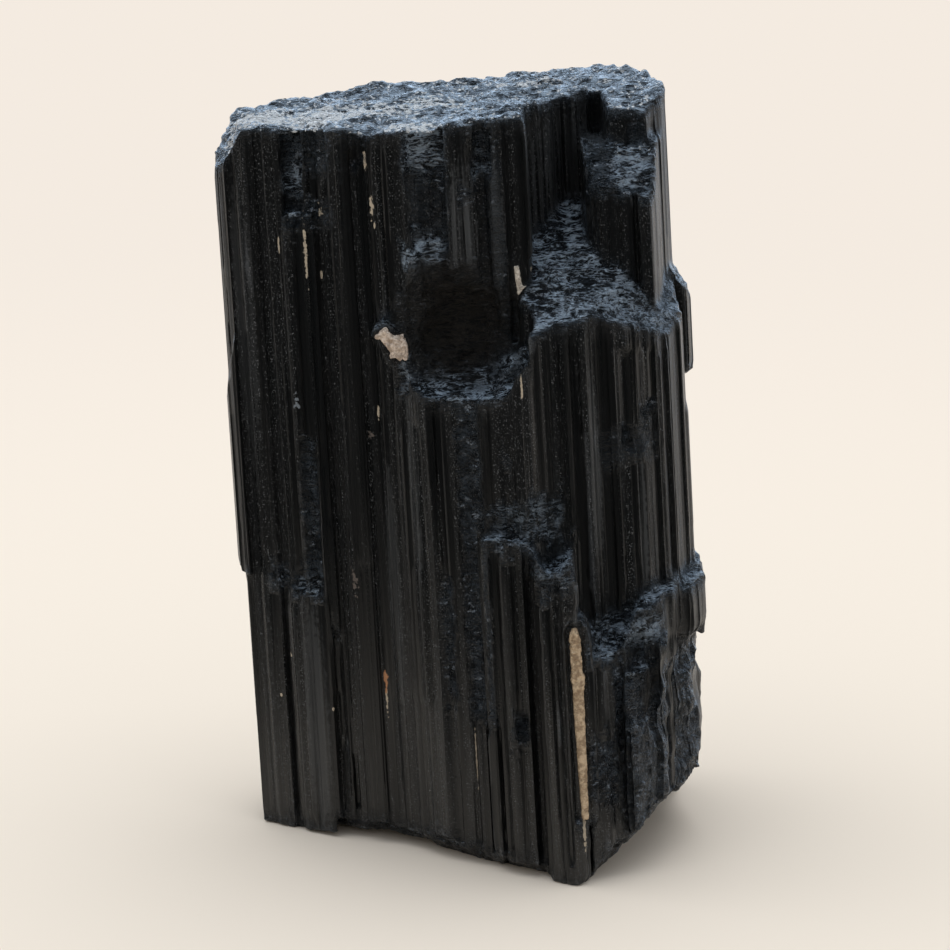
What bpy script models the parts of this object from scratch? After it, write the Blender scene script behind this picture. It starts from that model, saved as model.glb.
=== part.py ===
# A black tourmaline crystal: a bundle of parallel fluted columns, broken across at both ends and
# stepped where columns have snapped off short, with three small feldspar fillings.
# It stands on its broken lower end, and the crystal's own axis leans a little to -X.
# Outlines are drawn in millimetres across that axis, u to the right and v to the back, and
# w runs up along it from the foot. The model itself is in metres, +Z up.

import itertools
import math
import random

import bmesh
import bpy
from mathutils import Vector, noise

MM = 0.001

# Driving dimensions, in millimetres and degrees
LENGTH = 66.0
LEAN = 3.2
LEFT_SIDE = -21.25
RIGHT_SIDE = 18.6
BACK = 34.5
UPPER_STEP_TOP = 58.8
LEFT_COLUMN_TOP = 58.2
RIGHT_SLIVER_TOP = 50.6
SHOULDER_LIP = 47.8
FRONT_TOP = 46.3
LEFT_SLIVER_TOP = 44.4
BACK_HALF_TOP = 41.0
PROW_TOP = 30.0
FOOT_RIB_TOP = 23.4
BACK_LOW_TOP = 22.5
LEDGE_TOP = 22.4
FEET_DEPTH = 4.0
STRIP_WIDTH = 1.5
FLUTE_DEPTH = 0.22
FRACTURE_CELL = 1.25
FRACTURE_ROUGHNESS = 0.5
FILLING_GAP = 0.3

# How a broken face is roughened: the width of its broad waves, how much finer and weaker the
# small ones are, how far each corner is shifted within its cell, and its own chance height
WAVE_WIDTH = 3.2
FINE_WAVE = 2.3
FINE_SHARE = 0.55
CORNER_SHIFT = 0.28
CHANCE_HEIGHT = 0.45

BLACK = (0.012, 0.012, 0.014, 1.0)
TAN = (0.62, 0.47, 0.33, 1.0)
PINKISH_CREAM = (0.78, 0.62, 0.52, 1.0)
CREAM = (0.66, 0.60, 0.52, 1.0)


# ---- scene ----

def clear_scene():
    for item in list(bpy.data.objects):
        bpy.data.objects.remove(item, do_unlink=True)


def new_collection(name):
    collection = bpy.data.collections.new(name)
    bpy.context.scene.collection.children.link(collection)
    return collection


def new_material(name, colour, roughness):
    material = bpy.data.materials.new(name)
    material.use_nodes = True
    shader = material.node_tree.nodes["Principled BSDF"]
    shader.inputs["Base Color"].default_value = colour
    shader.inputs["Roughness"].default_value = roughness
    shader.inputs["Metallic"].default_value = 0.0
    return material


clear_scene()
parts = new_collection("tourmaline_crystal")
tools = new_collection("blocks_and_cutters")

# The stand carries everything upright; the axis carries what follows the crystal's lean.
stand = bpy.data.objects.new("stand", None)
axis = bpy.data.objects.new("axis", None)
tools.objects.link(stand)
tools.objects.link(axis)
axis.parent = stand
axis.rotation_euler = (0.0, -math.radians(LEAN), 0.0)


def add_object(name, mesh, carrier, collection):
    item = bpy.data.objects.new(name, mesh)
    collection.objects.link(item)
    item.parent = carrier
    if collection is tools:
        item.hide_render = True
        item.display_type = "WIRE"
    return item


# ---- outlines ----

def fluted(start, end, strips):
    # One side of an outline, split into (width, stands out by) strips. The small step between
    # two strips is slanted, so that every strip keeps an edge of its own.
    start = Vector(start)
    end = Vector(end)
    along = end - start
    outward = Vector((along.y, -along.x)).normalized()
    total = sum(width for width, out in strips)
    points = []
    run = 0.0
    for width, out in strips:
        inset = 0.09 * width
        points.append(start + along * ((run + inset) / total) + outward * out)
        points.append(start + along * ((run + width - inset) / total) + outward * out)
        run += width
    return points


def plain_flutes(start, end, seed, strip_width=STRIP_WIDTH, depth=FLUTE_DEPTH):
    # One side with uneven strips, for faces where no column stands out by itself
    dice = random.Random(seed)
    length = (Vector(end) - Vector(start)).length
    count = max(1, round(length / strip_width))
    strips = [(dice.uniform(0.55, 1.45), dice.uniform(-depth, depth)) for _ in range(count)]
    return fluted(start, end, strips)


def corners(*points):
    return [Vector(point) for point in points]


def fluted_path(points, seed, strip_width=STRIP_WIDTH, depth=FLUTE_DEPTH):
    # An open run of fluted sides through the given corners
    run = []
    for number, (start, end) in enumerate(zip(points, points[1:])):
        run += plain_flutes(start, end, seed + number, strip_width, depth)
    return run


# ---- solids ----

def column(name, outline, bottom, top, carrier=axis, collection=tools):
    # A flat outline, extruded both ways from its middle height and welded into one closed mesh
    curve = bpy.data.curves.new(name, "CURVE")
    curve.dimensions = "2D"
    curve.fill_mode = "BOTH"
    curve.extrude = (top - bottom) / 2 * MM
    spline = curve.splines.new("POLY")
    spline.points.add(len(outline) - 1)
    for spline_point, place in zip(spline.points, outline):
        spline_point.co = (place.x * MM, place.y * MM, 0.0, 1.0)
    spline.use_cyclic_u = True
    drawn = bpy.data.objects.new(name, curve)
    tools.objects.link(drawn)
    graph = bpy.context.evaluated_depsgraph_get()
    mesh = bpy.data.meshes.new_from_object(drawn.evaluated_get(graph))
    bpy.data.objects.remove(drawn)
    bpy.data.curves.remove(curve)

    shape = bmesh.new()
    shape.from_mesh(mesh)
    bmesh.ops.remove_doubles(shape, verts=shape.verts, dist=0.001 * MM)
    bmesh.ops.translate(shape, verts=shape.verts, vec=(0.0, 0.0, (top + bottom) / 2 * MM))
    bmesh.ops.recalc_face_normals(shape, faces=shape.faces)
    shape.to_mesh(mesh)
    shape.free()
    return add_object(name, mesh, carrier, collection)


def roughness_at(u, v, seed):
    place = Vector((u, v, 0.0)) / WAVE_WIDTH
    broad = noise.noise(place + Vector((0.0, 0.0, seed * 7.3)))
    fine = noise.noise(place * FINE_WAVE + Vector((0.0, 0.0, seed * 3.1 + 11.0)))
    return broad + FINE_SHARE * fine


def fracture(name, box, height, seed, reach, rough=FRACTURE_ROUGHNESS, cell=FRACTURE_CELL,
             carrier=axis):
    # A cutter whose one face is a rough sheet at w = height(u, v) over box = (u0, u1, v0, v1).
    # The rest of it runs on to w = reach: above the sheet for a top, below it for an underside.
    low_u, high_u, low_v, high_v = box
    dice = random.Random(seed)
    columns = max(2, round((high_u - low_u) / cell))
    rows = max(2, round((high_v - low_v) / cell))
    sheet = bmesh.new()
    bmesh.ops.create_grid(sheet, x_segments=columns, y_segments=rows, size=0.5)
    for vertex in sheet.verts:
        inside = max(abs(vertex.co.x), abs(vertex.co.y)) < 0.49
        shift = CORNER_SHIFT * cell if inside else 0.0
        u = low_u + (vertex.co.x + 0.5) * (high_u - low_u) + dice.uniform(-shift, shift)
        v = low_v + (vertex.co.y + 0.5) * (high_v - low_v) + dice.uniform(-shift, shift)
        chance = dice.uniform(-CHANCE_HEIGHT, CHANCE_HEIGHT)
        w = height(u, v) + rough * (roughness_at(u, v, seed) + chance)
        vertex.co = Vector((u, v, w)) * MM
    grown = bmesh.ops.extrude_face_region(sheet, geom=sheet.faces[:])
    for item in grown["geom"]:
        if isinstance(item, bmesh.types.BMVert):
            item.co.z = reach * MM
    bmesh.ops.recalc_face_normals(sheet, faces=sheet.faces)
    mesh = bpy.data.meshes.new(name)
    sheet.to_mesh(mesh)
    sheet.free()
    return add_object(name, mesh, carrier, tools)


def boulder(name, centre, radii, seed, rough, detail=3, collection=tools):
    # A lumpy egg, for a hollow broken out of the side or for what fills one
    shape = bmesh.new()
    bmesh.ops.create_icosphere(shape, subdivisions=detail, radius=1.0)
    for vertex in shape.verts:
        direction = vertex.co.copy()
        lump = 1.0 + rough * noise.noise(direction * 2.4 + Vector((seed, 0.0, 0.0)))
        place = Vector([middle + radius * part * lump
                        for middle, radius, part in zip(centre, radii, direction)])
        vertex.co = place * MM
    mesh = bpy.data.meshes.new(name)
    shape.to_mesh(mesh)
    shape.free()
    return add_object(name, mesh, axis, collection)


def combine(target, other, operation):
    change = target.modifiers.new(operation.lower() + "_" + other.name, "BOOLEAN")
    change.operation = operation
    change.solver = "EXACT"
    change.object = other


def cut(target, *cutters):
    for cutter in cutters:
        combine(target, cutter, "DIFFERENCE")


def join(target, *others):
    for other in others:
        combine(target, other, "UNION")


CLEAR_ABOVE = LENGTH + 8.0
sinking = itertools.count()


def buried():
    # Each block ends at a depth of its own below the ground, so that no two ends are flush
    return -FEET_DEPTH - 0.13 * next(sinking)


# ---- blocks of the bundle ----

def make_core():
    # Full-height mass. The left face is stepped column by column; right of the upper front
    # column the face falls back into a deep dark corner, and a narrow column closes the right.
    left_face = fluted((LEFT_SIDE, 18.4), (-4.9, 9.4), [
        (1.7, 0.1), (1.5, 0.35), (1.0, -0.15), (1.3, 0.25), (1.8, -0.45), (1.4, -0.1),
        (1.2, -0.35), (1.9, 0.3), (1.6, -0.15), (1.4, 0.15), (1.5, 0.35)])
    upper_front = fluted((-4.9, 9.1), (-1.2, 8.7), [(1.0, 0.2), (2.7, -0.35)])
    upper_front += fluted((-1.2, 8.7), (5.8, 10.3), [
        (1.3, 0.1), (1.5, 0.35), (1.1, -0.4), (1.3, 0.25), (0.7, -0.05), (1.1, 0.3)])
    corner = corners((6.0, 13.4), (6.2, 16.4), (8.3, 18.5), (8.7, 20.0), (9.7, 20.8),
                     (10.3, 20.1), (11.7, 21.6), (11.9, 22.6), (12.9, 23.4))
    narrow = corners((13.1, 20.0), (13.3, 17.4), (15.0, 16.9), (16.8, 16.6), (17.7, 18.2),
                     (18.0, 18.5), (RIGHT_SIDE, 20.4))
    back = fluted_path([(RIGHT_SIDE, 21.0), (18.5, 25.0), (17.0, 30.0), (13.4, BACK),
                        (4.0, BACK - 1.0), (-4.0, BACK), (-10.4, 32.8), (-15.8, 32.2),
                        (-19.6, 28.0), (LEFT_SIDE, 22.6), (LEFT_SIDE, 19.6)], seed=3)
    outline = left_face + upper_front + corner + narrow + back
    return column("core", outline, buried(), CLEAR_ABOVE, collection=parts)


def make_front():
    # Lower front columns, ending at the scooped break
    face = fluted((-6.5, 9.6), (-3.5, 6.9), [(1.3, 0.1), (1.6, 0.35)])
    face += fluted((-3.4, 6.8), (4.6, 3.4), [
        (0.8, -0.2), (1.3, 0.1), (2.1, -0.25), (2.0, 0.15), (1.3, -0.1), (0.9, 0.2)])
    block = column("front", face + corners((6.0, 4.5), (6.0, 12.5), (-6.6, 12.5)), buried(), 52.0)
    cut(block, fracture("front_top", (-9, 8, 1, 14), lambda u, v: FRONT_TOP + 0.16 * u, 21,
                        CLEAR_ABOVE))
    return block


def make_prow():
    # The foremost columns, with a black groove between the ribs and the rounded corner
    face = fluted((0.4, 4.2), (3.9, 2.1), [(0.8, 0.3), (1.0, 0.1), (0.8, 0.35), (1.2, 0.05)])
    face += corners((4.0, 2.9), (4.8, 2.5), (4.9, 1.4), (6.0, 0.6), (6.2, 0.15), (7.1, 0.0),
                    (8.0, 0.3), (8.3, 1.4))
    block = column("prow", face + corners((8.4, 7.0), (0.6, 8.0)), buried(), 40.0)

    def broken(u, v):
        slant = PROW_TOP + 0.4 - 0.25 * max(0.0, u - 3.0)
        return slant - 2.2 * math.exp(-((u - 6.3) / 0.9) ** 2)

    cut(block, fracture("prow_top", (-1, 10, -2, 10), broken, 22, CLEAR_ABOVE, cell=1.0))
    return block


def make_shoulder():
    # The wide right-hand block with its sloping break, running up into the dark corner
    face = fluted((4.8, 3.9), (13.4, 7.1), [
        (1.6, 0.0), (2.0, -0.2), (0.5, 0.15), (1.1, -0.1), (0.7, 0.2), (1.6, -0.15), (1.4, 0.1)])
    face += corners((13.6, 6.9), (14.2, 7.3), (14.3, 7.7), (14.5, 7.5), (15.0, 7.8), (16.1, 9.1),
                    (16.4, 8.9), (16.8, 9.3), (17.1, 10.2), (17.5, 10.3), (18.4, 12.9),
                    (18.7, 13.0), (19.0, 14.8), (18.5, 19.0))
    inner = corners((17.2, 24.5), (13.6, 25.2), (8.8, 22.4), (5.3, 18.0), (4.6, 12.0))
    block = column("shoulder", face + inner, buried(), 62.0)

    def broken(u, v):
        fall = 0.30 * max(0.0, u - 11.0) ** 1.5
        return SHOULDER_LIP + 0.56 * (v - 3.8) - fall

    cut(block, fracture("shoulder_top", (3, 21, 1, 27), broken, 23, CLEAR_ABOVE))
    chip = column("rib_chip", corners((12.6, 5.0), (16.3, 7.2), (16.0, 8.7), (14.4, 7.7),
                                      (13.2, 7.3)), 37.0, 46.0)
    cut(block, chip)
    return block


def make_upper_step():
    # Short column below the top on the right, with a ledge that falls towards the front
    face = corners((10.8, 19.2), (11.1, 15.0), (12.3, 13.3)) + fluted(
        (12.5, 13.2), (15.2, 12.7), [(0.9, 0.05), (0.7, -0.1), (1.1, 0.1)])
    face += corners((15.4, 13.2), (15.6, 12.5), (16.6, 12.0), (17.0, 13.2), (17.8, 17.2),
                    (18.3, 19.2))
    block = column("upper_step", face + corners((18.2, 24.0), (11.4, 24.0)), 40.0, 64.0)

    def broken(u, v):
        return min(UPPER_STEP_TOP + 1.05 * (v - 12.8), 62.5)

    cut(block, fracture("upper_step_top", (9, 20, 10, 26), broken, 24, CLEAR_ABOVE, cell=1.1))
    return block


def make_lower_right():
    # Stepped blocks at the lower right; each lower one stands out further than the one above
    face = corners((8.7, 1.3), (10.3, 2.0), (10.7, 2.8)) + fluted(
        (10.8, 2.9), (15.1, 5.9), [(0.6, 0.1), (0.7, -0.1), (0.7, 0.1), (1.1, -0.15), (1.0, 0.1)])
    face += corners((15.3, 5.9), (16.1, 6.8), (16.3, 7.6), (17.4, 8.9), (17.6, 9.8),
                    (18.7, 12.0), (19.2, 15.0), (19.55, 17.5), (19.3, 20.0))
    block = column("lower_right", face + corners((13.0, 22.0), (7.0, 13.0)), buried(), 32.0)

    def broken(u, v):
        notch = 1.9 * math.exp(-((u - 11.3) / 1.6) ** 2)
        rise = min(0.25 * max(0.0, u - 12.0) + 0.45 * (v - 5.2), 1.8)
        return LEDGE_TOP + rise - notch - 1.3 * max(0.0, u - 18.2)

    cut(block, fracture("lower_right_top", (6, 21, 0, 24), broken, 25, CLEAR_ABOVE, cell=1.1))

    def step(name, outline, top, bottom, seed):
        piece = column(name, outline, bottom, top + 3.0)
        low_u = min(point.x for point in outline) - 1
        high_u = max(point.x for point in outline) + 1
        low_v = min(point.y for point in outline) - 1
        high_v = max(point.y for point in outline) + 1
        cut(piece, fracture(name + "_top", (low_u, high_u, low_v, high_v),
                            lambda u, v: top + 0.3 * (v - low_v - 2),
                            seed, CLEAR_ABOVE, rough=0.25, cell=0.9))
        return piece

    steps = [
        step("step_middle", corners((12.0, 2.9), (13.3, 3.5), (14.9, 4.9), (14.6, 9.0),
                                    (12.9, 8.6)), 17.9, buried(), 31),
        step("step_low", corners((12.4, 2.4), (14.6, 3.6), (15.25, 4.7), (15.5, 9.6),
                                 (13.2, 7.6)), 13.4, buried(), 32),
        step("step_rib", corners((15.0, 5.2), (15.5, 5.1), (16.2, 6.1), (16.9, 10.5),
                                 (15.9, 10.2)), 20.3, buried(), 33),
        step("step_block", corners((15.9, 6.9), (17.2, 8.0), (17.9, 12.6), (16.8, 12.0)),
             24.0, 17.4, 34),
        step("step_corner", corners((17.4, 9.4), (18.7, 10.1), (19.9, 12.6), (19.8, 16.0),
                                    (17.6, 16.4)), 23.4, 18.2, 35),
        step("step_flank", corners((17.3, 9.2), (18.7, 10.9), (19.4, 13.2), (19.3, 17.6),
                                   (17.8, 17.2)), 15.6, 7.0, 36)]
    join(block, *steps)
    return block


def make_left_details():
    # Columns that stand out of the left face for part of its height, and the two side slivers
    upper_column = column("left_upper_column", corners(
        (-15.6, 14.7), (-14.4, 14.0), (-12.9, 13.3), (-12.6, 13.9), (-12.6, 15.5), (-15.6, 17.0)),
        20.0, LEFT_COLUMN_TOP)
    foot_rib = column("left_foot_rib", corners(
        (-17.4, 15.9), (-16.9, 15.2), (-15.4, 14.3), (-13.9, 13.5), (-13.6, 14.0),
        (-13.6, 16.0), (-17.2, 18.0)), buried(), 24.5)
    cut(foot_rib, fracture("foot_rib_top", (-19, -12, 12, 19),
                           lambda u, v: FOOT_RIB_TOP - 0.25 * (u + 15.0), 26,
                           CLEAR_ABOVE, rough=0.3, cell=0.9))
    edge = column("left_edge", corners((-21.5, 18.9), (-20.6, 17.6), (-19.9, 22.4), (-21.5, 22.0)),
                  25.3, CLEAR_ABOVE - 2.0)
    sliver = column("left_sliver", corners(
        (-21.85, 20.1), (-21.65, 18.3), (-20.7, 17.3), (-20.2, 21.0), (-21.2, 23.3)), 24.8, 48.0)
    cut(sliver, fracture("left_sliver_top", (-23, -19, 16, 24),
                         lambda u, v: LEFT_SLIVER_TOP + 5.0 * (u + 21.2), 27,
                         CLEAR_ABOVE, rough=0.1, cell=1.2))
    return [upper_column, foot_rib, edge, sliver]


def make_right_slivers():
    upper = column("right_sliver_upper", corners(
        (18.0, 18.6), (19.5, 18.2), (20.1, 19.8), (19.9, 22.6), (18.0, 24.0)), 40.9, 54.0)
    cut(upper, fracture("right_sliver_top", (17, 21, 17, 25),
                        lambda u, v: RIGHT_SLIVER_TOP - 1.5 * (u - 18.4), 28,
                        CLEAR_ABOVE, rough=0.15, cell=1.0))
    lower = column("right_sliver_lower", corners(
        (18.2, 14.2), (19.1, 13.8), (19.2, 16.3), (18.8, 18.6), (18.0, 19.5)), 21.0, 38.8)
    return [upper, lower]


def make_back_columns():
    # Columns on the far side, two of them snapped off short
    tall = column("back_tall", fluted_path(
        [(9.5, 33.0), (9.0, 36.0), (3.0, 35.8), (2.0, 33.0)], 41) + corners((3, 30), (9, 30)),
        buried(), CLEAR_ABOVE - 1.0)
    half = column("back_half", fluted_path(
        [(-3.0, 33.0), (-4.2, 36.3), (-10.6, 34.4), (-12.5, 31.0)], 42) + corners(
        (-11, 28), (-4, 29)), buried(), 46.0)
    cut(half, fracture("back_half_top", (-14, -1, 27, 38),
                       lambda u, v: BACK_HALF_TOP - 0.5 * (v - 32.0), 29, CLEAR_ABOVE))
    low = column("back_low", fluted_path(
        [(17.2, 27.0), (17.4, 31.2), (13.8, 35.6), (10.0, 35.4)], 43) + corners(
        (10, 31), (15, 26)), buried(), 27.0)
    cut(low, fracture("back_low_top", (8, 20, 25, 38),
                      lambda u, v: BACK_LOW_TOP - 0.4 * (v - 31.0), 30, CLEAR_ABOVE))
    return [tall, half, low]


# ---- breaks through the whole bundle ----

def top_break():
    # The upper end: nearly square across, chipped down along the left side and along the front
    # of the narrow right column
    def broken(u, v):
        side_drop = max(0.0, 4.2 - 2.0 * math.hypot(u - LEFT_SIDE, 0.22 * (v - 18.5)))
        column_drop = 0.45 * max(0.0, 19.5 - v) if u > 12.6 else 0.0
        return LENGTH + 0.03 * (u + 6.0) - side_drop - column_drop

    return fracture("top_break", (-25, 24, 3, 41), broken, 51, CLEAR_ABOVE + 6.0)


def scoop():
    # The hollow under the upper front column, its floor nearly square across the columns
    hollow = boulder("scoop", (-0.6, 5.9, 48.4), (6.6, 5.4, 6.4), 4.0, 0.16)
    notch = boulder("scoop_upper", (-2.9, 7.4, 51.0), (2.7, 2.7, 3.4), 9.0, 0.2)
    return [hollow, notch]


def front_chips():
    # Pits broken out of the upper front column and the left face
    return [boulder("chip_left_column", (-3.0, 8.0, 60.0), (1.9, 1.5, 4.4), 5.0, 0.35),
            boulder("chip_pit", (1.6, 8.6, 63.2), (0.75, 1.3, 2.1), 6.0, 0.2),
            boulder("chip_left_face", (-14.9, 13.7, 63.6), (1.2, 1.1, 3.0), 7.0, 0.3)]


def underside():
    # The lower end, in upright coordinates: cut flat where it stands, and raised in chips along
    # the front and under the right-hand blocks
    floor = column("floor_cut", corners((-40, -20), (40, -20), (40, 60), (-40, 60)),
                   -3 * FEET_DEPTH, 0.0, carrier=stand)

    def right_rise(u, v):
        rise = 0.8 * (u - 7.9 - 0.33 * v)
        return max(-FEET_DEPTH, 1.3 + (rise if rise > 0.0 else 4.0 * rise))

    def front_rise(u, v):
        front_line = 14.6 - 0.62 * (u + 15.5)
        arch = 2.6 - 0.10 * abs(u + 9.5)
        return max(-FEET_DEPTH, arch - 0.75 * max(0.0, v - front_line))

    right = fracture("right_underside", (6.4, 24, -2, 30), right_rise, 52, -2 * FEET_DEPTH,
                     carrier=stand)
    front = fracture("front_underside", (-14.4, 4.6, -2, 24), front_rise, 53, -2 * FEET_DEPTH,
                     rough=0.25, carrier=stand)
    return [floor, right, front]


# ---- fillings ----

def grown(outline, margin):
    # The outline moved outwards by a margin, corner by corner
    bigger = []
    count = len(outline)
    for number, point in enumerate(outline):
        before = (point - outline[number - 1]).normalized()
        after = (outline[(number + 1) % count] - point).normalized()
        side_before = Vector((before.y, -before.x))
        side_after = Vector((after.y, -after.x))
        middle = (side_before + side_after).normalized()
        bigger.append(point + middle * (margin / max(0.5, middle.dot(side_after))))
    return bigger


def vein(name, outline, bottom, top, crystal, material):
    # A filling between two columns, in a slot that follows it with a small gap
    piece = column(name, outline, bottom, top, collection=parts)
    slot = column(name + "_slot", grown(outline, FILLING_GAP), bottom - FILLING_GAP,
                  top + FILLING_GAP)
    cut(crystal, slot)
    piece.data.materials.append(material)


def lump(name, centre, radii, seed, crystal, material):
    # A rounded filling, in a hollow that follows it with a small gap
    piece = boulder(name, centre, radii, seed, 0.5, detail=2, collection=parts)
    room = [radius + FILLING_GAP for radius in radii]
    cut(crystal, boulder(name + "_hollow", centre, room, seed, 0.5, detail=2))
    piece.data.materials.append(material)


def centre_on_origin(crystal):
    # The origin is on the ground, at the middle of the whole outline
    bpy.context.view_layer.update()
    graph = bpy.context.evaluated_depsgraph_get()
    shape = crystal.evaluated_get(graph)
    places = [shape.matrix_world @ vertex.co for vertex in shape.data.vertices]
    stand.location.x = -(min(p.x for p in places) + max(p.x for p in places)) / 2
    stand.location.y = -(min(p.y for p in places) + max(p.y for p in places)) / 2
    bpy.context.view_layer.update()


def main():
    crystal = make_core()
    crystal.name = "crystal"
    crystal.data.materials.append(new_material("tourmaline_black", BLACK, 0.38))
    join(crystal, make_upper_step(), make_shoulder(), make_front(), make_prow(),
         make_lower_right(), *make_left_details(), *make_right_slivers(), *make_back_columns())
    cut(crystal, top_break(), *scoop(), *front_chips(), *underside())
    vein("feldspar_seam", corners((7.45, 0.4), (8.65, 0.9), (8.5, 3.6), (7.6, 3.4)), 5.6, 23.0,
         crystal, new_material("feldspar_tan", TAN, 0.8))
    vein("feldspar_strip", corners((4.4, 9.4), (5.0, 9.6), (4.8, 10.9), (4.3, 10.8)), 51.0, 53.7,
         crystal, new_material("feldspar_pale", CREAM, 0.8))
    lump("feldspar_patch", (-6.3, 9.8, 47.2), (1.2, 1.0, 1.3), 2.0, crystal,
         new_material("feldspar_cream", PINKISH_CREAM, 0.8))
    centre_on_origin(crystal)


main()
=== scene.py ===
import math

import bpy
import bmesh
import numpy as np
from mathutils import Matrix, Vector


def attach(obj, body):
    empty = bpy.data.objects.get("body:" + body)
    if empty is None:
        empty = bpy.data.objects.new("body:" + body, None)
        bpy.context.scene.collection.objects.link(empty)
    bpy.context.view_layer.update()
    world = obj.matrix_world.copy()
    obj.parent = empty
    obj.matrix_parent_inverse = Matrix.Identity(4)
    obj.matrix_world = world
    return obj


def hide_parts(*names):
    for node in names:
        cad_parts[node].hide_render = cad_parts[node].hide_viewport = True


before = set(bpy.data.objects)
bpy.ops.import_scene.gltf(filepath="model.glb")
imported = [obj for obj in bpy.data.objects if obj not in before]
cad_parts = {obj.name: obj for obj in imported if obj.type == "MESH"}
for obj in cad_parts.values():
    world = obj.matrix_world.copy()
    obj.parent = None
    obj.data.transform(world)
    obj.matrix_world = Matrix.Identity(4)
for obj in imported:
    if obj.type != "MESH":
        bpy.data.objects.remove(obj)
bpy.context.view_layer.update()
print("frame loaded:", sorted(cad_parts))

# The crystal stands a little askew. Its shapes are worked in its own axes, in millimetres:
# u across, v from the foremost prism to the back, w along the crystal from the foot.
mm = 0.001
stance = {
    "lean": 3.2,            # degrees, top towards the left
    "leftEdge": -21.85,     # u of the leftmost edge
    "foot": 0.165,          # w of the lowest point of the stand
}
leanCos = math.cos(math.radians(stance["lean"]))
leanSin = math.sin(math.radians(stance["lean"]))


def readPoints(mesh):
    flat = np.empty(len(mesh.vertices) * 3, np.float32)
    mesh.vertices.foreach_get("co", flat)
    return flat.reshape(-1, 3).astype(np.float64)


def writePoints(mesh, points):
    mesh.vertices.foreach_set("co", points.astype(np.float32).ravel())
    mesh.update()


def alongAxes(points):
    x, y, z = points.T / mm
    return np.stack([x * leanCos + z * leanSin, y, z * leanCos - x * leanSin], 1)


rawPoints = alongAxes(readPoints(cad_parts["crystal"].data))
axisStart = np.array([stance["leftEdge"], 0, stance["foot"]])
axisStart[:2] -= rawPoints.min(0)[:2]


def toCrystal(points):
    return alongAxes(points) + axisStart


def toFrame(points):
    u, v, w = (points - axisStart).T
    return np.stack([u * leanCos - w * leanSin, v, w * leanCos + u * leanSin], 1) * mm


# ---- chance and noise, all seeded ----

def chance(i, j, k, seed):
    # a fixed number between 0 and 1 for each whole-number cell
    h = (i.astype(np.int64) * 374761393 + j.astype(np.int64) * 668265263 + k.astype(np.int64) * 1440662683
        + seed * 9176213) & 0xFFFFFFFF
    h = ((h ^ (h >> 13)) * 1274126177) & 0xFFFFFFFF
    h = ((h ^ (h >> 15)) * 2246822519) & 0xFFFFFFFF
    return ((h ^ (h >> 16)) & 0xFFFFFF) / 0xFFFFFF


def softNoise(points, size, seed):
    # smooth noise between -1 and 1; size is one number or one for each axis
    p = points / np.asarray(size, float)
    low = np.floor(p).astype(np.int64)
    f = p - low
    f = f * f * (3 - 2 * f)
    total = np.zeros(len(p))
    shares = (1 - f, f)
    for a in (0, 1):
        for b in (0, 1):
            for c in (0, 1):
                weight = shares[a][:, 0] * shares[b][:, 1] * shares[c][:, 2]
                total += weight * chance(low[:, 0] + a, low[:, 1] + b, low[:, 2] + c, seed)
    return total * 2 - 1


def ridges(points, size, seed):
    return 1 - 2 * np.abs(softNoise(points, size, seed))


def turnedPrisms(points, size, lengths, seed):
    # nearest of a jittered grid of upright prisms. Each stands in or out by its own step,
    # turns its face its own way, and breaks off at its own heights.
    p = points[:, :2] / size
    low = np.floor(p).astype(np.int64)
    near = np.full(len(p), 9.0)
    cell = np.zeros((len(p), 2), np.int64)
    offset = np.zeros((len(p), 2))
    for a in (-1, 0, 1):
        for b in (-1, 0, 1):
            i = low[:, 0] + a
            j = low[:, 1] + b
            du = p[:, 0] - i - chance(i, j, i * 0, seed)
            dv = p[:, 1] - j - chance(i, j, i * 0, seed + 1)
            gap = np.hypot(du, dv)
            closer = gap < near
            near = np.where(closer, gap, near)
            cell[closer] = np.stack([i, j], 1)[closer]
            offset[closer] = np.stack([du, dv], 1)[closer]
    i, j = cell.T
    length = lengths * (0.5 + chance(i, j, i * 0, seed + 2))
    piece = np.floor((points[:, 2] + 80 * chance(i, j, i * 0, seed + 3)) / length).astype(np.int64)
    turn = 2 * np.pi * chance(i, j, i * 0, seed + 5)
    tilt = offset[:, 0] * np.cos(turn) + offset[:, 1] * np.sin(turn)
    return chance(i, j, piece, seed + 4) * 2 - 1, tilt


def shellBreaks(points, size, seed, tilt=0.9):
    # hollow chips that meet in sharp ridges: low in the middle of each chip, high where two meet
    p = points / np.asarray(size, float)
    low = np.floor(p).astype(np.int64)
    best = np.full(len(p), 9.0)
    for a in (-1, 0, 1):
        for b in (-1, 0, 1):
            for c in (-1, 0, 1):
                i, j, k = low[:, 0] + a, low[:, 1] + b, low[:, 2] + c
                du = p[:, 0] - i - chance(i, j, k, seed)
                dv = p[:, 1] - j - chance(i, j, k, seed + 1)
                dw = p[:, 2] - k - chance(i, j, k, seed + 2)
                turn = 2 * np.pi * chance(i, j, k, seed + 3)
                lean = tilt * (du * np.cos(turn) + dv * np.sin(turn))
                best = np.minimum(best, du * du + dv * dv + dw * dw + lean + 0.35 * chance(i, j, k, seed + 4))
    return best - 0.35


def inside(value, low, high, soft):
    return np.clip((value - low) / soft + 0.5, 0, 1) * np.clip((high - value) / soft + 0.5, 0, 1)


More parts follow.
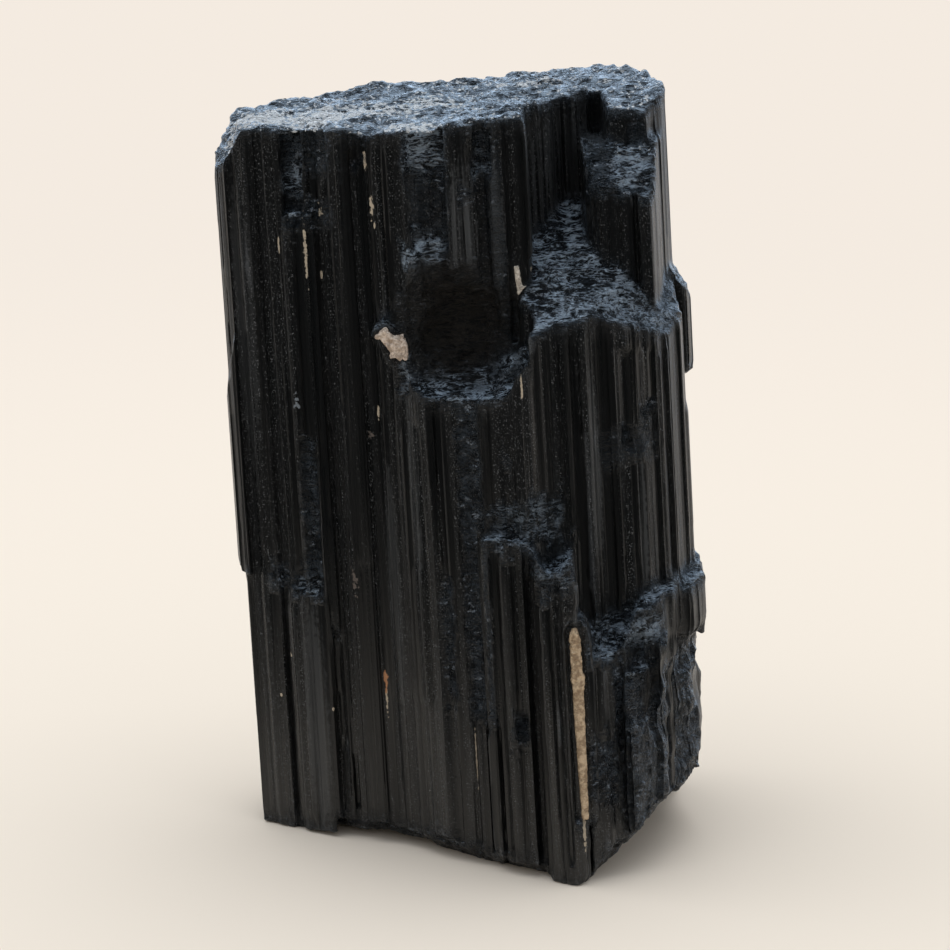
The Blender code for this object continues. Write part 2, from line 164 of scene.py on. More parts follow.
def spread(values, edges, count, rounds, weight=1.0):
    # averages each point with its neighbours, where weight lets it
    ways = np.bincount(edges.ravel(), minlength=count).astype(float)
    ways[ways == 0] = 1
    held = values if values.ndim > 1 else values[:, None]
    weight = np.broadcast_to(np.asarray(weight, float), (count,))[:, None]
    for _ in range(rounds):
        mean = np.empty_like(held)
        for axis in range(held.shape[1]):
            column = held[:, axis]
            mean[:, axis] = (np.bincount(edges[:, 0], column[edges[:, 1]], count)
                + np.bincount(edges[:, 1], column[edges[:, 0]], count)) / ways
        held = held + (mean - held) * weight
    return held if values.ndim > 1 else held[:, 0]


# ---- the tourmaline crystal ----

crystal = {
    "grid": 0.13,             # mm, the fineness of the shaped skin across the prisms
    "stretch": 4.0,           # how much longer that grid is along them
    "triangles": 190000,
    "wideSteps": (3.1, 150.0, 0.08, 0.09),     # size, break length, step and turn of the wide prisms, mm
    "mediumSteps": (1.3, 90.0, 0.05, 0.05),
    "fineSteps": (0.55, 50.0, 0.028, 0.025),
    "bend": (9.0, 9.0, 30.0),  # mm, how slowly the prisms wander, u v w
    "bendShare": 0.10,        # of a prism's width
    "breakSmoothing": 6,
    # ragged rims: size of the small and the wide waver, and how far each shifts an edge across and along, mm
    "smallWaver": (0.5, 0.5, 0.7),
    "wideWaver": (1.3, 1.3, 1.1),
    "waverAcross": (0.20, 0.30),
    "waverAlong": (0.6, 1.1),
    "reliefFrom": -1.5,       # mm, the deepest hollow and the highest bump of the whole relief
    "reliefTo": 0.6,
    # size and depth of the hollow chips of broken ground, and their stretch across
    "bigChips": (3.2, 0.60, 1.0),
    "middleChips": (1.4, 0.44, 1.5),
    "smallChips": (0.6, 0.26, 1.5),
    "levelFrom": 0.32,                         # how level a face is before it counts as broken
    "levelTo": 0.62,
    # the hollow whose colour is painted darker as shade, where the sky light does not reach
    "shadedHollow": ((-0.8, 10.4, 48.8), (5.3, 3.1, 6.9)),   # the dark hollow: its middle and half size, u v w
    "sharpEdge": 26,          # degrees
    "dent": 0.35,             # mm, how deep each filling sits in the crystal
    # white powder on the top: drifts at u v with half width and half depth, mm, and how much
    "powder": {"elsewhere": 0.30, "drifts": [
        (-17.5, 20.5, 5.0, 4.5, 1.0), (-12.0, 18.5, 5.0, 5.5, 1.0), (-7.0, 20.0, 5.0, 4.5, 0.95),
        (-2.0, 22.0, 4.5, 3.5, 0.8), (7.5, 27.0, 4.0, 2.2, 0.85), (-4.0, 10.5, 3.0, 1.8, 0.85),
        (2.5, 25.0, 3.0, 2.0, 0.5)]},
    # prisms, ribs and hollows of the front: from u, to u, from w, to w, mm out
    "ribs": [
        (-19.56, -19.21, 26.2, 60.3, 0.12),
        (-18.32, -17.88, 2.4, 65.9, 0.12),
        (-17.06, -16.79, 22.8, 66.5, 0.1),
        (-16.46, -16.28, 26.5, 46.7, 0.12),
        (-15.76, -15.14, 23.0, 66.6, 0.22),
        (-15.38, -13.87, 57.7, 66.1, -0.55),
        (-13.42, -12.27, 57.3, 65.7, -0.4),
        (-12.7, -12.43, 4.8, 57.4, 0.1),
        (-11.2, -9.35, 27.0, 67.3, 0.12),
        (-9.15, -8.0, 62.6, 66.2, -0.4),
        (-9.37, -8.13, 3.4, 62.8, -0.12),
        (-7.75, -6.34, 14.7, 63.2, 0.12),
        (-6.14, -5.88, 56.2, 64.3, 0.14),
        (-5.86, -4.89, 27.5, 64.6, -0.12),
        (-15.22, -14.07, 24.0, 37.7, -0.35),
        (-13.87, -13.16, 14.0, 35.0, 0.2),
        (-12.38, -12.16, 11.9, 28.4, 0.14),
        (-9.05, -7.99, 14.3, 38.9, 0.12),
        (-6.17, -5.03, 15.0, 39.4, 0.12),
        (-4.81, -3.5, 15.4, 39.7, -0.1),
        (-3.43, -3.17, 28.1, 41.6, 0.18),
        (-17.43, -15.92, 2.5, 22.2, 0.15),
        (-15.82, -15.47, 2.6, 22.8, -0.12),
        (-13.31, -12.78, 8.9, 9.7, -0.35),
        (-12.41, -11.96, 3.3, 7.9, -0.35),
        (-4.42, -1.25, 56.0, 66.1, -0.55),
        (-4.67, -3.53, 48.8, 54.2, 0.3),
        (-1.01, 0.13, 47.9, 66.9, 0.14),
        (0.36, 1.42, 47.0, 59.7, -0.14),
        (1.44, 2.41, 47.7, 61.7, -0.22),
        (2.47, 3.44, 48.5, 66.6, 0.12),
        (1.62, 3.03, 61.9, 65.1, -0.55),
        (5.65, 5.96, 53.9, 66.7, 0.3),
        (-3.45, -1.16, 47.8, 54.0, -0.25),
        (9.62, 10.32, 39.3, 47.6, 0.22),
        (7.97, 8.4, 24.3, 47.2, 0.14),
        (12.49, 12.75, 23.6, 46.1, 0.12),
        (8.75, 9.53, 24.2, 47.1, -0.12),
        (10.71, 12.11, 23.8, 46.7, -0.1),
        (13.92, 14.27, 22.5, 38.7, 0.14),
        (14.72, 15.07, 22.3, 38.5, 0.12),
        (13.2, 13.81, 37.4, 39.2, -0.2),
        (14.94, 15.99, 39.6, 40.9, -0.2),
        (16.74, 17.09, 23.4, 45.6, 0.14),
        (17.33, 17.59, 23.2, 45.5, 0.12),
        (0.77, 1.47, 1.6, 28.4, 0.14),
        (1.61, 1.86, 1.7, 28.5, -0.14),
        (1.87, 2.48, 1.9, 28.6, 0.12),
        (2.84, 3.96, 1.9, 28.6, -0.08),
        (4.08, 5.03, 0.6, 27.1, -0.45),
        (5.22, 6.25, 1.4, 28.9, 0.14),
        (6.49, 7.0, 1.6, 27.7, -0.3),
        (7.27, 8.31, 2.3, 26.7, 0.16),
        (-0.99, 0.84, -2.0, 13.5, 0.28),
        (0.9, 1.12, -2.0, 14.1, -0.35),
        (2.53, 3.4, 12.3, 14.9, -0.6),
        (-1.6, -1.08, 7.6, 13.0, 0.16),
        (10.27, 12.09, 2.3, 9.0, 0.16),
        (12.57, 14.14, 16.7, 20.4, -0.3),
        (13.3, 15.47, 12.7, 16.4, -0.3),
        (15.4, 16.27, 5.5, 19.9, 0.2),
        (11.11, 13.47, 61.2, 63.7, -0.2),
        (15.67, 16.11, 45.4, 58.2, 0.14),
        (15.25, 15.52, 45.3, 58.1, -0.2),
    ],
    "topFrom": 60.5,          # w, above which white powder can lie
    "quietFoot": 0.65,        # how much of the roughness the underside loses
    # steep ground that stays smooth: from u, to u, from w, to w
    "smoothPlaces": [(7.0, 13.5, 57.3, 63.0), (13.6, 18.5, 62.7, 64.2)],
    # painted highlight: breaks of the front painted pale where they catch the light: from u, to u, from w, to
    # w, how much
    "lit": [
        (-5.6, -1.5, 53.8, 57.0, 1.0),
        (-4.6, -0.9, 62.6, 66.3, 0.8),
        (-15.6, -13.9, 60.3, 62.0, 0.9),
        (1.3, 3.2, 61.5, 63.0, 0.9),
        (9.0, 15.8, 20.2, 22.6, 0.8),
        (-17.2, -14.4, 23.2, 25.6, 0.7),
        (-6.2, -4.4, 43.6, 46.5, 0.6),
        (1.0, 8.6, 27.5, 33.5, 0.5),
    ],
    # corners worn back in lumps, on any side: from u, to u, from w, to w, mm back, size of the lumps
    "worn": [(13.5, 26.0, -3.0, 19.0, 1.1, 2.6)],
    # where the front foot stands clear of the table: from u, to u, below w, mm
    "liftedFoot": (-16.6, -6.5, 1.2, 1.35),
    # broken patches of the front: from u, to u, from w, to w, how rough
    "chipped": [
        (-15.4, -13.71, 60.0, 65.9, 0.9),
        (-13.4, -11.09, 62.3, 65.8, 0.8),
        (-12.27, -11.03, 56.8, 59.4, 0.5),
        (-15.25, -14.1, 23.1, 37.7, 0.8),
        (-16.65, -14.43, 23.0, 25.4, 1.0),
        (-18.87, -17.09, 24.2, 26.0, 0.8),
        (-4.78, -0.92, 61.2, 66.3, 1.0),
        (-4.17, -0.92, 56.1, 61.3, 0.4),
        (-4.66, -1.15, 54.2, 56.5, 1.0),
        (0.07, 1.82, 59.8, 61.1, 0.8),
        (1.45, 3.21, 61.7, 65.3, 0.8),
        (-6.09, -4.6, 43.3, 46.5, 1.0),
        (-1.34, 0.66, 13.8, 42.5, 0.75),
        (0.95, 4.25, 31.7, 33.3, 0.8),
        (2.38, 3.33, 36.7, 37.7, 0.8),
        (4.45, 7.75, 31.5, 34.0, 0.9),
        (1.19, 6.91, 29.6, 31.2, 0.9),
        (6.85, 8.49, 27.3, 30.4, 0.9),
        (4.82, 7.74, 25.6, 29.5, 0.8),
        (-3.38, -2.42, 15.1, 25.4, 0.7),
        (2.35, 3.56, 12.0, 15.0, 0.7),
        (8.9, 10.5, 19.5, 21.6, 0.7),
        (8.81, 11.23, 6.7, 12.4, 0.9),
        (9.2, 15.97, 19.5, 22.8, 0.9),
        (13.41, 15.33, 17.2, 21.4, 0.3),
        (11.2, 14.2, 11.5, 18.8, 0.85),
        (11.4, 15.6, 3.0, 11.0, 0.5),
        (14.8, 17.0, 4.0, 15.5, 0.6),
        (16.2, 19.6, 3.5, 12.5, 0.7),
        (2.2, 3.8, 50.0, 65.0, 0.35),
        (-5.5, -2.6, 53.9, 56.6, 1.0),
        (13.28, 15.62, 12.5, 13.4, 0.9),
        (15.97, 17.63, 14.5, 17.5, 0.9),
        (17.61, 19.37, 12.9, 18.4, 0.8),
        (13.14, 16.74, 65.2, 68.0, 1.0),
        (11.16, 16.67, 58.1, 62.7, 1.0),
        (13.24, 13.94, 37.1, 39.2, 1.0),
        (14.85, 16.08, 39.4, 40.9, 1.0),
        (11.01, 16.26, 36.0, 38.7, 0.3),
        (-0.95, 0.96, 13.4, 14.3, 0.7),
        (-9.18, -8.03, 62.2, 63.1, 0.7),
        (-15.29, -12.27, 57.3, 58.4, 0.8),
    ],
}


def skinOf(mesh, settings):
    # one even skin over the solid, with a grid that is fine across the prisms
    grid = settings["grid"] * 1.0
    bm = bmesh.new()
    bm.from_mesh(mesh)
    bmesh.ops.remove_doubles(bm, verts=bm.verts, dist=1e-7)
    bm.to_mesh(mesh)
    bm.free()
    squashed = toCrystal(readPoints(mesh)) / (1, 1, settings["stretch"])
    writePoints(mesh, squashed)
    carrier = bpy.data.objects.new("skinCarrier", mesh)
    bpy.context.scene.collection.objects.link(carrier)
    remesh = carrier.modifiers.new("skin", "REMESH")
    remesh.mode = "VOXEL"
    remesh.voxel_size = grid
    remesh.adaptivity = 0
    skin = bpy.data.meshes.new_from_object(carrier.evaluated_get(bpy.context.evaluated_depsgraph_get()))
    bpy.data.objects.remove(carrier)
    writePoints(skin, readPoints(skin) * (1, 1, settings["stretch"]))
    return skin


def edgesOf(mesh):
    pairs = np.empty(len(mesh.edges) * 2, np.int32)
    mesh.edges.foreach_get("vertices", pairs)
    return pairs.reshape(-1, 2)


def normalsOf(mesh):
    flat = np.empty(len(mesh.vertices) * 3, np.float32)
    mesh.vertex_normals.foreach_get("vector", flat)
    return flat.reshape(-1, 3).astype(np.float64)


def frontMost(points, cell=0.5, depth=1.6):
    # True for what a look from the front meets first
    i = np.floor((points[:, 0] + 30) / cell).astype(np.int64)
    k = np.floor((points[:, 2] + 10) / cell).astype(np.int64)
    nearest = np.full((160, 200), 99.0)
    np.minimum.at(nearest, (i, k), points[:, 1])
    around = nearest.copy()
    for a in (-1, 0, 1):
        for b in (-1, 0, 1):
            around = np.minimum(around, np.roll(nearest, (a, b), (0, 1)) + 0.6 * (abs(a) + abs(b)))
    return points[:, 1] < around[i, k] + depth


def shapeCrystal(mesh, settings):
    edges = edgesOf(mesh)
    count = len(mesh.vertices)
    points = readPoints(mesh)
    normals = spread(normalsOf(mesh), edges, count, 3)
    normals /= np.linalg.norm(normals, axis=1)[:, None] + 1e-9
    level = np.abs(normals[:, 2])
    broken = np.clip((level - settings["levelFrom"]) / (settings["levelTo"] - settings["levelFrom"]), 0, 1)
    broken = spread(broken, edges, count, 4)
    broken *= 1 - settings["quietFoot"] * np.clip(1.8 - points[:, 2], 0, 1)
    for u0, u1, w0, w1 in settings["smoothPlaces"]:
        broken *= 1 - inside(points[:, 0], u0, u1, 0.8) * inside(points[:, 2], w0, w1, 1.2)

    # broken faces first lose the flat cuts of the solid
    points = spread(points, edges, count, settings["breakSmoothing"], broken * 0.8)
    writePoints(mesh, points)
    normals = spread(normalsOf(mesh), edges, count, 2)
    normals /= np.linalg.norm(normals, axis=1)[:, None] + 1e-9

    front = frontMost(points) & (normals[:, 1] < -0.12)
    u, v, w = points.T
    ragged = softNoise(points, settings["smallWaver"], 5)
    wander = softNoise(points, settings["wideWaver"], 6)
    acrossAt = u + settings["waverAcross"][0] * ragged + settings["waverAcross"][1] * wander
    alongAt = w + settings["waverAlong"][0] * ragged + settings["waverAlong"][1] * wander
    chips = np.zeros(count)
    for u0, u1, w0, w1, amount in settings["chipped"]:
        patch = inside(acrossAt, u0, u1, 0.5) * inside(alongAt, w0, w1, 0.9)
        chips = np.maximum(chips, patch * amount)
    chips = np.where(front, chips, 0)
    upright = 1 - broken

    # stepped and turned prisms of three widths on every upright face
    relief = np.zeros(count)
    for k, name in enumerate(("wideSteps", "mediumSteps", "fineSteps")):
        size, lengths, height, turned = settings[name]
        sway = [softNoise(points, settings["bend"], seed + k) for seed in (21, 31)] + [0 * w]
        bent = points + np.stack(sway, 1) * (settings["bendShare"] * size)
        step, tilt = turnedPrisms(bent, size, lengths, 40 + 10 * k)
        relief += upright * (height * step + turned * tilt)
    relief *= 1 - 0.6 * chips

    for u0, u1, w0, w1, out in settings["ribs"]:
        edge = 0.16 if u1 - u0 < 0.5 else 0.22
        shape = inside(u + 0.05 * ragged, u0, u1, edge) * inside(alongAt, w0, w1, 0.8)
        relief += np.where(front, shape * out * upright, 0)

    # broken ground: hollow chips of three sizes
    rough = np.maximum(broken, chips)
    ground = np.zeros(count)
    for k, name in enumerate(("bigChips", "middleChips", "smallChips")):
        size, depth, stretch = settings[name]
        fade = rough if k else broken
        ground += fade * depth * shellBreaks(points, (size * stretch, size, size * 0.6), 61 + 10 * k)
    relief += ground - chips * 0.12

    for u0, u1, w0, w1, back, size in settings["worn"]:
        lumps = back * (0.45 + 0.55 * softNoise(points, size, 71)) + 0.12 * ridges(points, size / 2, 72)
        relief -= inside(u, u0, u1, 1.6) * inside(alongAt, w0, w1, 2.0) * lumps
    u0, u1, top, lift = settings["liftedFoot"]
    relief -= lift * inside(u, u0, u1, 2.5) * np.clip((top - w) / 0.6, 0, 1) * (v < v.min() + 22)
    relief = np.clip(relief, settings["reliefFrom"], settings["reliefTo"])

    # the dark hollow keeps its own soft lumps instead; its mask also carries painted shade into the colour
    middle, half = (np.array(part) for part in settings["shadedHollow"])
    cave = np.clip(1.6 - 1.4 * np.linalg.norm((points - middle) / half, axis=1) + 0.3 * ragged, 0, 1)
    hollow = 0.35 * softNoise(points, (2.2, 2.0, 1.5), 90) + 0.24 * ridges(points, (1.6, 1.5, 0.7), 91)
    relief += cave * (hollow - relief)
    rough = np.maximum(rough, 0.7 * cave)
    points = points + normals * relief[:, None]
    writePoints(mesh, points)

    u, v, w = points.T
    onTop = np.clip((w - settings["topFrom"]) / 2.5, 0, 1) * np.clip((normals[:, 2] - 0.25) / 0.35, 0, 1)
    powder = np.full(count, settings["powder"]["elsewhere"])
    for cu, cv, halfWide, halfDeep, amount in settings["powder"]["drifts"]:
        powder = np.maximum(powder, amount * np.exp(-((u - cu) / halfWide) ** 2 - ((v - cv) / halfDeep) ** 2))
    powder *= np.clip((u + 21.4) / 1.2, 0, 1)
    # up-facing broken ground is painted pale bluish, partly settled dust and partly painted sky light; the
    # lit breaks add painted highlights
    lit = 0.12 * chips
    for u0, u1, w0, w1, amount in settings["lit"]:
        place = inside(acrossAt, u0, u1, 1.0) * inside(alongAt, w0, w1, 1.4)
        lit = np.maximum(lit, front * place * rough * amount)
    dustAndSkyLight = np.maximum(broken * np.clip((normals[:, 2] - 0.35) / 0.45, 0, 1), lit)
    masks = {"broken": rough, "dustAndSkyLight": dustAndSkyLight, "powder": broken * onTop * powder, "shadedHollow": cave}
    for name, values in masks.items():
        mark = mesh.attributes.new(name, "FLOAT", "POINT")
        mark.data.foreach_set("value", np.clip(values, 0, 1).astype(np.float32))


def lighten(mesh, triangles):
    # fewer triangles where the skin is flat
    carrier = bpy.data.objects.new("lightCarrier", mesh)
    bpy.context.scene.collection.objects.link(carrier)
    total = sum(len(p.vertices) - 2 for p in mesh.polygons)
    if total > triangles:
        decimate = carrier.modifiers.new("light", "DECIMATE")
        decimate.ratio = triangles / total
    light = bpy.data.meshes.new_from_object(carrier.evaluated_get(bpy.context.evaluated_depsgraph_get()))
    bpy.data.objects.remove(carrier)
    return light


def placePiece(name, mesh, node):
    piece = bpy.data.objects.new(name, mesh)
    bpy.context.scene.collection.objects.link(piece)
    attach(piece, "root")
    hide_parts(node)
    return piece


def makeCrystal(settings, fillings):
    # the slots of the fillings are closed first, so that each filling sits in a shallow dent
    bm = bmesh.new()
    bm.from_mesh(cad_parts["crystal"].data)
    for filling in fillings:
        front = toCrystal(readPoints(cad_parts[filling["node"]].data))[:, 1].min()
        plug = fillingBlock(filling, front + settings["dent"], front + filling["slotDepth"],
            filling["plugGrowth"])
        writePoints(plug, toFrame(readPoints(plug)))
        bm.from_mesh(plug)
    whole = bpy.data.meshes.new("wholeCrystal")
    bm.to_mesh(whole)
    bm.free()
    skin = skinOf(whole, settings)
    print("crystal skin:", len(skin.vertices), "points")
    shapeCrystal(skin, settings)
    print("crystal relief done")
    light = lighten(skin, settings["triangles"])
    points = readPoints(light)
    writePoints(light, toFrame(points))
    low = readPoints(light)
    low[:, 2] = np.maximum(low[:, 2], 0)          # it rests on the flat of its foot
    writePoints(light, low)
    light.shade_smooth()
    light.set_sharp_from_angle(angle=math.radians(settings["sharpEdge"]))
    print("crystal mesh:", sum(len(p.vertices) - 2 for p in light.polygons), "triangles")
    return placePiece("tourmalineCrystal", light, "crystal")


# ---- the feldspar fillings ----

seam = {
    "node": "feldspar_seam", "slot": "feldspar_tan", "grid": 0.09, "bulge": 0.10, "lumps": (0.05, 0.8),
    "crumbs": (0.035, 0.3), "seed": 301,
    # left and right edge at each height: w, u left, u right
    "edges": [
        (22.95, 7.84, 8.14), (22.5, 7.66, 8.30), (21.8, 7.60, 8.42), (21.0, 7.58, 8.50),
        (20.4, 7.62, 8.48), (19.8, 7.58, 8.56),
        (19.2, 7.64, 8.50), (18.7, 7.60, 8.56), (17.8, 7.62, 8.54), (17.0, 7.60, 8.54), (15.3, 7.62, 8.54),
        (13.2, 7.66, 8.52),
        (11.2, 7.70, 8.50), (8.9, 7.76, 8.46), (6.7, 7.82, 8.44), (6.0, 7.82, 8.44), (5.6, 7.90, 8.36)],
    "depth": 1.6, "slotDepth": 3.6, "plugGrowth": 0.9, "lumpyAbove": 17.5, "lumpyTimes": 2.6,
}
patch = {
    "node": "feldspar_patch", "slot": "feldspar_cream", "grid": 0.08, "bulge": 0.30, "lumps": (0.16, 0.6),
    "crumbs": (0.07, 0.25), "seed": 302,
    # outline u, w, sunwise from the left tip
    "outline": [
        (-8.0, 47.95), (-7.65, 48.25), (-7.2, 48.5), (-6.95, 48.75), (-6.72, 48.4), (-6.45, 48.1),
        (-6.2, 47.85), (-5.82, 47.8),
        (-5.62, 48.0), (-5.42, 48.05), (-5.38, 47.7), (-5.2, 47.25), (-5.22, 46.55), (-5.28, 45.8),
        (-5.5, 45.75), (-5.58, 46.05),
        (-5.72, 45.9), (-5.88, 45.65), (-6.02, 45.95), (-6.25, 46.1), (-6.7, 46.0), (-6.8, 46.3),
        (-6.7, 46.5), (-6.86, 46.8),
        (-7.0, 47.2), (-7.24, 47.5), (-7.44, 47.85), (-7.72, 47.9)],
    "depth": 1.3, "slotDepth": 2.8, "plugGrowth": 0.5,
}
strip = {
    "node": "feldspar_strip", "slot": "feldspar_pale", "grid": 0.06, "bulge": 0.10, "lumps": (0.05, 0.6),
    "crumbs": (0.03, 0.25), "seed": 303,
    "outline": [
        (4.50, 53.42), (4.86, 53.46), (4.96, 53.3), (5.0, 52.5), (5.06, 52.0), (5.16, 51.6), (5.46, 51.6),
        (5.2, 51.35),
        (4.98, 51.1), (4.76, 50.85), (4.68, 50.95), (4.6, 52.1)],
    "depth": 0.9, "slotDepth": 1.9, "plugGrowth": 0.45,
}


def outlineOf(settings):
    if "outline" in settings:
        return settings["outline"]
    edges = settings["edges"]
    return [(left, w) for w, left, right in reversed(edges)] + [(right, w) for w, left, right in edges]


def fillingBlock(settings, front, back, grown=0.0):
    # the outline, moved outwards, as an upright slab between two depths
    outline = np.array(outlineOf(settings), float)
    following = np.roll(outline, -1, 0)
    turning = np.sign((outline[:, 0] * following[:, 1] - outline[:, 1] * following[:, 0]).sum())
    along = following - outline
    aside = np.stack([along[:, 1], -along[:, 0]], 1) * turning
    aside /= np.linalg.norm(aside, axis=1)[:, None]
    outward = aside + np.roll(aside, 1, 0)
    outline = outline + outward / (np.linalg.norm(outward, axis=1)[:, None] + 1e-6) * grown
    count = len(outline)
    points = [(u, front, w) for u, w in outline] + [(u, back, w) for u, w in outline]
    bm = bmesh.new()
    made = [bm.verts.new(point) for point in points]
    bm.faces.new(made[:count])
    bm.faces.new(made[count:][::-1])
    for i in range(count):
        j = (i + 1) % count
        bm.faces.new((made[i], made[count + i], made[count + j], made[j]))
    bmesh.ops.triangulate(bm, faces=bm.faces)
    bmesh.ops.recalc_face_normals(bm, faces=bm.faces)
    mesh = bpy.data.meshes.new("block")
    bm.to_mesh(mesh)
    bm.free()
    return mesh


def makeFilling(name, settings):
    node = toCrystal(readPoints(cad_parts[settings["node"]].data))
    front = node[:, 1].min()
    block = fillingBlock(settings, front - settings["bulge"] * 0.3, front + settings["depth"])
    writePoints(block, toFrame(readPoints(block)))
    skin = skinOf(block, {"grid": settings["grid"], "stretch": 1.0})
    edges = edgesOf(skin)
    count = len(skin.vertices)
    points = spread(readPoints(skin), edges, count, 2, 0.6)
    writePoints(skin, points)
    normals = normalsOf(skin)
    lumpHeight, lumpSize = settings["lumps"]
    crumbHeight, crumbSize = settings["crumbs"]
    lumpy = np.where(points[:, 2] > settings.get("lumpyAbove", 999), settings.get("lumpyTimes", 1.0), 1.0)
    out = lumpy * lumpHeight * softNoise(points, (lumpSize, lumpSize, lumpSize * 0.8), settings["seed"])
    out += lumpy * crumbHeight * ridges(points, crumbSize, settings["seed"] + 7)
    middle = (points[:, 0].min() + points[:, 0].max()) / 2
    half = (points[:, 0].max() - points[:, 0].min()) / 2
    crown = settings["bulge"] * (1 - ((points[:, 0] - middle) / half) ** 2) * np.clip(-normals[:, 1], 0, 1)
    points = points + normals * out[:, None]
    points[:, 1] -= crown
    writePoints(skin, toFrame(points))
    skin.shade_smooth()
    skin.set_sharp_from_angle(angle=math.radians(38))
    return placePiece(name, skin, settings["node"])


# ---- shader groups ----

def newGroup(name, inputs, outputs):
    group = bpy.data.node_groups.new(name, "ShaderNodeTree")
    for label, kind, value in inputs:
        socket = group.interface.new_socket(name=label, in_out="INPUT", socket_type=kind)
        if value is not None:
            socket.default_value = value
    for label, kind in outputs:
        group.interface.new_socket(name=label, in_out="OUTPUT", socket_type=kind)
    return group, group.nodes.new("NodeGroupInput").outputs, group.nodes.new("NodeGroupOutput").inputs


def addNode(tree, kind, inputs=None, **values):
    made = tree.nodes.new(kind)
    for key, value in values.items():
        setattr(made, key, value)
    for key, value in (inputs or {}).items():
        if isinstance(value, bpy.types.NodeSocket):
            tree.links.new(value, made.inputs[key])
        else:
            made.inputs[key].default_value = value
    return made


def doMath(tree, operation, a, b=0.0, c=0.0, clamp=False):
    return addNode(tree, "ShaderNodeMath", {0: a, 1: b, 2: c}, operation=operation,
        use_clamp=clamp).outputs[0]


def times(tree, a, b, clamp=False):
    return doMath(tree, "MULTIPLY", a, b, clamp=clamp)


def plus(tree, a, b):
    return doMath(tree, "ADD", a, b)


def minus(tree, a, b, clamp=False):
    return doMath(tree, "SUBTRACT", a, b, clamp=clamp)


def over(tree, a, b):
    return doMath(tree, "DIVIDE", a, b)


def larger(tree, a, b):
    return doMath(tree, "MAXIMUM", a, b)


def vectorMath(tree, operation, a, b):
    return addNode(tree, "ShaderNodeVectorMath", {0: a, 1: b}, operation=operation).outputs[0]


def noiseOf(tree, place, scale, detail, roughness):
    inputs = {"Vector": place, "Scale": scale, "Detail": detail, "Roughness": roughness}
    return addNode(tree, "ShaderNodeTexNoise", inputs).outputs[0]


def mixColour(tree, factor, a, b):
    made = tree.nodes.new("ShaderNodeMix")
    made.data_type = "RGBA"
    for key, value in ((0, factor), (6, a), (7, b)):
        if isinstance(value, bpy.types.NodeSocket):
            tree.links.new(value, made.inputs[key])
        else:
            made.inputs[key].default_value = value
    return made.outputs[2]


def ramp(tree, value, low, high):
    made = addNode(tree, "ShaderNodeMapRange", {0: value, 1: low, 2: high, 3: 0.0, 4: 1.0},
        interpolation_type="SMOOTHSTEP")
    return made.outputs[0]


numberSocket = "NodeSocketFloat"
vectorSocket = "NodeSocketVector"


def makeAxisGroup():
    # object place in millimetres along the crystal's own axes
    group, given, result = newGroup("crystalAxes", [("Start", vectorSocket, tuple(axisStart))],
        [("Place", vectorSocket)])
    spot = addNode(group, "ShaderNodeTexCoord").outputs["Object"]
    turned = addNode(group, "ShaderNodeMapping",
        {"Vector": spot, "Rotation": (0, math.radians(stance["lean"]), 0), "Scale": (1 / mm,) * 3})
    place = addNode(group, "ShaderNodeVectorMath", {0: turned.outputs[0], 1: given["Start"]},
        operation="ADD")
    group.links.new(place.outputs[0], result["Place"])
    return group


def makeStriationGroup():
    # fine flat-faced lines that run along the prisms
    group, given, result = newGroup("striations", [
        ("Place", vectorSocket, None), ("Lines", numberSocket, 3.0), ("Length", numberSocket, 20.0),
        ("Fine", numberSocket, 0.5)],
        [("Height", numberSocket), ("Streaks", numberSocket), ("Facets", numberSocket)])
    squeeze = over(group, 1.0, given["Length"])
    scale = addNode(group, "ShaderNodeCombineXYZ", {0: 1.0, 1: 1.0, 2: squeeze}).outputs[0]
    drawn = vectorMath(group, "MULTIPLY", given["Place"], scale)
    levels = []
    for finer in (1.0, 2.9):
        often = times(group, given["Lines"], finer)
        cells = addNode(group, "ShaderNodeTexVoronoi", {"Vector": drawn, "Scale": often}, feature="F1")
        level = addNode(group, "ShaderNodeSeparateColor", {0: cells.outputs["Color"]}).outputs[0]
        levels.append(plus(group, level, times(group, cells.outputs["Distance"], 0.8)))
    hair = noiseOf(group, drawn, times(group, given["Lines"], 6.0), 2.0, 0.6)
    fine = times(group, plus(group, levels[1], hair), given["Fine"])
    group.links.new(plus(group, levels[0], fine), result["Height"])
    group.links.new(ramp(group, levels[0], 0.55, 1.25), result["Streaks"])
    group.links.new(levels[1], result["Facets"])
    return group


def makeGrainGroup():
    # crumbly ground: height and a colour mask
    group, given, result = newGroup("brokenGrain", [
        ("Place", vectorSocket, None), ("Size", numberSocket, 1.0), ("Crumb", numberSocket, 0.5)],
        [("Height", numberSocket), ("Mask", numberSocket), ("Folds", numberSocket)])
    often = over(group, 1.0, given["Size"])
    flat = vectorMath(group, "MULTIPLY", given["Place"], (0.42, 1.0, 1.5))
    wave = addNode(group, "ShaderNodeTexNoise",
        {"Vector": flat, "Scale": often, "Detail": 3.0, "Roughness": 0.55, "Distortion": 0.7}).outputs[0]
    folds = minus(group, 1.0, times(group, doMath(group, "ABSOLUTE", minus(group, wave, 0.5)), 5.0),
        clamp=True)
    group.links.new(folds, result["Folds"])
    soft = noiseOf(group, given["Place"], often, 6.0, 0.68)
    tight = times(group, often, 2.3)
    chip = addNode(group, "ShaderNodeTexVoronoi", {"Vector": given["Place"], "Scale": tight},
        feature="F1").outputs["Distance"]
    height = plus(group, soft, times(group, chip, given["Crumb"]))
    group.links.new(height, result["Height"])
    group.links.new(ramp(group, soft, 0.40, 0.62), result["Mask"])
    return group


